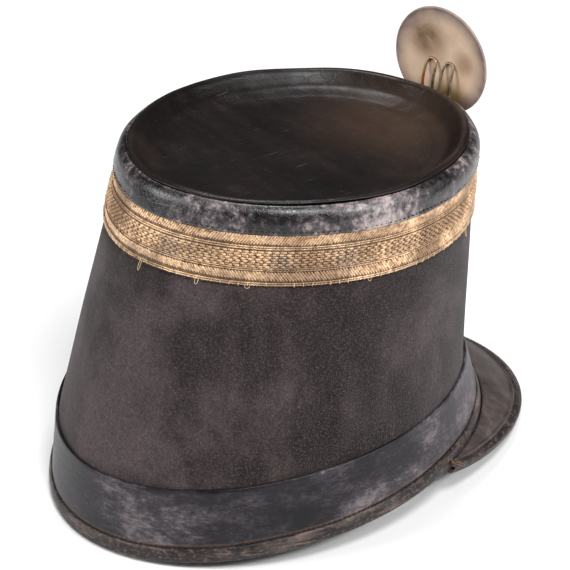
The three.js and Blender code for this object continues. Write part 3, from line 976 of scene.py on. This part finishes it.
def cockade_profile():
    half = COCKADE_THICKNESS / 2
    bead_radius = COCKADE_RADIUS - COCKADE_BEAD
    radii = np.linspace(0.0, 0.0236, 22)
    dome = [COCKADE_DOME * (1 - (radius / bead_radius) ** 2) for radius in radii]
    front_face = [(radius, height + half) for radius, height in zip(radii, dome)]
    bead = [(bead_radius + COCKADE_BEAD * math.cos(turn), COCKADE_BEAD * math.sin(turn))
            for turn in np.radians(np.linspace(125, -125, 17))]
    back_face = [(radius, height - half) for radius, height in zip(radii[::-1], dome[::-1])]
    return front_face + bead + back_face


def silvered_brass_finish():
    made = Finish("silvered_brass", Metallic=0.22, Specular_IOR_Level=0.5)
    cloud = made.cloud(made.place, 95.0, detail=7.0, roughness=0.65, distortion=0.4)
    specks = made.cloud(made.place, 520.0, detail=4.0, roughness=0.75)
    reach = made.node("VectorMath", {"operation": "DISTANCE"}, _0=made.place, _1=tuple(cockade_middle))
    edge = made.sum(reach.outputs["Value"], made.sum(cloud, 0.012, "MULTIPLY"))
    colour = made.ramp(cloud, (0.35, srgb(220, 190, 162)), (0.6, srgb(234, 206, 180)),
                       (0.8, srgb(244, 222, 202)))
    across = cockade_frame @ Vector((0.0082, 0.0082, 0.0))
    stain = made.sum(made.near(tuple(across), 0.002, 0.0145), made.sum(cloud, 1.9, "MULTIPLY"), "MULTIPLY")
    colour = made.mix(stain, colour, srgb(134, 106, 78))
    rusty = cockade_frame @ Vector((-0.0125, 0.001, 0.0))
    rust = made.sum(made.near(tuple(rusty), 0.001, 0.0085), 0.65, "MULTIPLY")
    colour = made.mix(rust, colour, srgb(158, 118, 84))
    foot = cockade_frame @ Vector((-0.006, -0.021, 0.0))
    olive = made.sum(made.near(tuple(foot), 0.005, 0.0165), 0.95, "MULTIPLY")
    colour = made.mix(olive, colour, srgb(128, 100, 42))
    colour = made.mix(made.ramp(edge, (0.0262, 0.0), (0.0284, 0.85)), colour, srgb(104, 88, 96))
    colour = made.mix(made.ramp(specks, (0.68, 0.0), (0.8, 0.6)), colour, srgb(120, 92, 66))
    return made.finish(colour, made.ramp(cloud, (0.3, 0.66), (0.75, 0.52)), made.bump(cloud, 0.0006, 0.2))


def hairpin_finish():
    made = Finish("tarnished_wire", Metallic=0.8)
    patches = made.cloud(made.place, 160.0, detail=5.0)
    colour = made.ramp(patches, (0.38, srgb(92, 84, 66)), (0.52, srgb(150, 132, 104)),
                       (0.66, srgb(170, 98, 50)))
    return made.finish(colour, 0.4, made.bump(patches, 0.0003, 0.4))


def hairpin_path(side):
    middle = side * HAIRPIN_SPREAD
    bend_off = HAIRPIN_WIRE - COCKADE_DOME + 0.00035
    leg = [(1.0, -HAIRPIN_LENGTH, HAIRPIN_STAND_OFF), (1.0, -0.022, HAIRPIN_STAND_OFF),
           (1.0, -0.011, HAIRPIN_STAND_OFF), (1.0, -0.0045, (HAIRPIN_STAND_OFF + bend_off) / 2),
           (0.62, -0.0009, bend_off)]
    corners = [Vector((middle - HAIRPIN_HALF_WIDTH * w, y, -z)) for w, y, z in leg]
    corners += [Vector((middle + HAIRPIN_HALF_WIDTH * w, y, -z)) for w, y, z in reversed(leg)]
    path = []
    for i in range(len(corners) - 1):
        a, b = corners[max(i - 1, 0)], corners[i]
        c, d = corners[i + 1], corners[min(i + 2, len(corners) - 1)]
        for t in np.arange(8) / 8:
            bend = 2 * b + (c - a) * t + (2 * a - 5 * b + 4 * c - d) * t**2
            path.append((bend + (3 * b - a - 3 * c + d) * t**3) / 2)
    return path + [corners[-1]]


cockade = turned_disc("cockade_disc", cockade_profile(), 128, cockade_frame)
cockade.data.materials.append(silvered_brass_finish())
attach(cockade, "root")
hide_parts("cockade")
wire_finish = hairpin_finish()
for side, label in ((-1, "right"), (1, "left")):
    pin = tube_along(f"cockade_hairpin_{label}", hairpin_path(side), HAIRPIN_WIRE, 12, cockade_frame)
    pin.data.materials.append(wire_finish)
    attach(pin, "root")

# ------------------------------------------------------------------ cockade slip
# A flat tube of dark leather at the front of the crown, open above and below, that the hairpins
# are pushed into.

SLIP_WIDTH = 0.019
SLIP_HEIGHT = 0.022
SLIP_TOP = -0.016
SLIP_WALL = 0.00085


def slip_outline(half_width, half_depth, steps=10):
    """Flat loop with round ends, as plan points in the cockade's own axes."""
    ends = []
    for sign in (1, -1):
        for turn in np.linspace(-math.pi / 2, math.pi / 2, steps):
            ends.append((sign * (half_width - half_depth + half_depth * math.cos(turn)),
                         sign * half_depth * math.sin(turn)))
    return ends


def cockade_slip():
    slot_half = HAIRPIN_WIRE + 0.0003
    slot_width = HAIRPIN_SPREAD + HAIRPIN_HALF_WIDTH + HAIRPIN_WIRE + 0.0003
    outer = slip_outline(SLIP_WIDTH / 2, slot_half + SLIP_WALL)
    inner = slip_outline(slot_width, slot_half)
    rings = []
    for outline, heights in ((outer, np.linspace(0, 1, 9)), (inner, np.linspace(1, 0, 5))):
        for share in heights:
            y = SLIP_TOP - SLIP_HEIGHT * (1 - share)
            rings.append([cockade_frame @ Vector((x, y, z - HAIRPIN_STAND_OFF)) for x, z in outline])
    return ring_shell("cockade_slip_tube", rings)


slip = cockade_slip()
slip.data.materials.append(dark_leather)
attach(slip, "root")
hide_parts("cockade_slip")

# ------------------------------------------------------------------ loose threads
# Fine ends of the whipping thread hang in small loops below the lace, and brown thread has frayed
# out where the binding of the peak ends against the base roll.

LOOSE_THREAD = 0.0001
LACE_LOOPS = ((97, 0.0040, 0.0010), (118, 0.0022, 0.0012), (133, 0.0012, 0.0016), (168, 0.0012, 0.0010),
              (213, 0.0030, 0.0008), (30, 0.0022, 0.0012), (-60, 0.0026, 0.0010))
FRAYED_ENDS = ((0.0026, 0.0012, 0.0030), (-0.0022, 0.0020, 0.0036), (0.0008, 0.0030, 0.0022),
               (-0.0034, 0.0002, 0.0016), (0.0040, 0.0022, 0.0014))


def lace_loop(degrees, drop, width):
    path = []
    for part in np.linspace(0.0, 1.0, 15):
        swing = math.sin(math.pi * part)
        turn = math.radians(degrees) + (part - 0.5) * width / 0.075 * (1.0 + 1.3 * swing)
        below = LACE_TOP + LACE_WIDTH - 0.0004 + drop * swing
        spot = high_point(np.array([turn]), -0.0004 - 0.0007 * swing, below)
        path.append(Vector(spot[0]))
    return tube_along("loop", path, LOOSE_THREAD, 6, Matrix.Identity(4))


def frayed_end(aside, lift, reach):
    start = Vector(peak_point(-0.965, 0.0006, 0.0016))
    path = [start + Vector((-reach * part + aside * part * part, 0.4 * aside * part - 0.0012 * part,
                            lift * math.sin(2.2 * part))) for part in np.linspace(0.0, 1.0, 9)]
    return tube_along("frayed", path, LOOSE_THREAD * 1.4, 6, Matrix.Identity(4))


loops = [lace_loop(*loop) for loop in LACE_LOOPS]
for loop in loops:
    loop.data.materials.append(pale_thread)
loose_loops = joined("loose_lace_threads", loops)
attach(loose_loops, "root")
rust_thread = thread_finish("frayed_brown_thread", srgb(196, 160, 122), srgb(116, 84, 58), 0.85)
frays = [frayed_end(*end) for end in FRAYED_ENDS]
for fray in frays:
    fray.data.materials.append(rust_thread)
frayed_threads = joined("frayed_peak_threads", frays)
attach(frayed_threads, "root")

for shape in (thread, bundle):
    bpy.data.objects.remove(shape)

# ------------------------------------------------------------------ table, light and camera
# A pale table top in a soft studio light: one large light on the right and one on the left, two
# smaller ones that pick out the lace and the shoulder of the crown, and one high behind.

CAMERA_AZIMUTH = math.radians(232.8)
CAMERA_ELEVATION = math.radians(30.0)
CAMERA_ROLL = math.radians(-1.0)
CAMERA_DISTANCE = 1.0
AIM_HEIGHT = 0.08
AIM_RIGHT = 0.0085
AIM_UP = 0.0036
LENS = 146.4


def table_top():
    size = 6.0
    corners = [(-size, -size, 0.0), (size, -size, 0.0), (size, size, 0.0), (-size, size, 0.0)]
    piece = plain_mesh("table_top", [Vector(c) for c in corners], [(0, 1, 2, 3)])
    made = Finish("white_table", Roughness=0.8, Specular_IOR_Level=0.1)
    faint = made.cloud(made.place, 3.0, detail=2.0)
    piece.data.materials.append(made.finish(made.ramp(faint, (0.2, 0.86), (0.8, 0.9))))
    return piece


table_top()


def toward(azimuth, elevation):
    return Vector((math.sin(azimuth) * math.cos(elevation), -math.cos(azimuth) * math.cos(elevation),
                   math.sin(elevation)))


def soft_light(name, azimuth, elevation, distance, size, power):
    data = bpy.data.lights.new(name, "AREA")
    data.shape = "DISK"
    data.size = size
    data.energy = power
    light = bpy.data.objects.new(name, data)
    way = toward(math.radians(azimuth), math.radians(elevation))
    light.location = Vector((0.0, CAP_MIDDLE_Y, 0.08)) + way * distance
    light.rotation_euler = way.to_track_quat("Z", "Y").to_euler()
    bpy.context.scene.collection.objects.link(light)


soft_light("right_light", 306.0, 28.0, 1.5, 0.9, 8.0)
soft_light("left_light", 156.0, 28.0, 1.5, 0.9, 14.0)
soft_light("front_light", 250.0, 58.0, 1.4, 0.4, 12.0)
soft_light("shoulder_light", 284.0, 37.0, 1.4, 0.26, 9.0)
soft_light("top_light", 56.0, 71.0, 1.5, 0.6, 10.0)

world = bpy.data.worlds.new("studio")
world.use_nodes = True
bpy.context.scene.world = world
sky = world.node_tree
room = sky.nodes["Background"]
room.inputs["Color"].default_value = (0.085, 0.082, 0.083, 1.0)
paper = sky.nodes.new("ShaderNodeBackground")
paper.inputs["Color"].default_value = (0.9, 0.9, 0.9, 1.0)
seen = sky.nodes.new("ShaderNodeLightPath")
choice = sky.nodes.new("ShaderNodeMixShader")
sky.links.new(seen.outputs["Is Camera Ray"], choice.inputs[0])
sky.links.new(room.outputs[0], choice.inputs[1])
sky.links.new(paper.outputs[0], choice.inputs[2])
sky.links.new(choice.outputs[0], sky.nodes["World Output"].inputs["Surface"])
bpy.context.scene.view_settings.view_transform = "Standard"

back = toward(CAMERA_AZIMUTH, CAMERA_ELEVATION)
right = Vector((math.cos(CAMERA_AZIMUTH), math.sin(CAMERA_AZIMUTH), 0.0))
up = back.cross(right)
target = Vector((0.0, CAP_MIDDLE_Y, AIM_HEIGHT + TABLE_LIFT))
rolled_right = right * math.cos(CAMERA_ROLL) + up * math.sin(CAMERA_ROLL)
rolled_up = up * math.cos(CAMERA_ROLL) - right * math.sin(CAMERA_ROLL)
eye = target + back * CAMERA_DISTANCE
aim = target + rolled_right * AIM_RIGHT + rolled_up * AIM_UP
view_back = (eye - aim).normalized()
view_right = (rolled_right - view_back * rolled_right.dot(view_back)).normalized()
view_up = view_back.cross(view_right)
lens = bpy.data.cameras.new("camera")
lens.lens = LENS
lens.sensor_width = 36.0
camera = bpy.data.objects.new("camera", lens)
camera.matrix_world = Matrix((
    (view_right.x, view_up.x, view_back.x, eye.x),
    (view_right.y, view_up.y, view_back.y, eye.y),
    (view_right.z, view_up.z, view_back.z, eye.z),
    (0.0, 0.0, 0.0, 1.0),
))
bpy.context.scene.collection.objects.link(camera)
bpy.context.scene.camera = camera
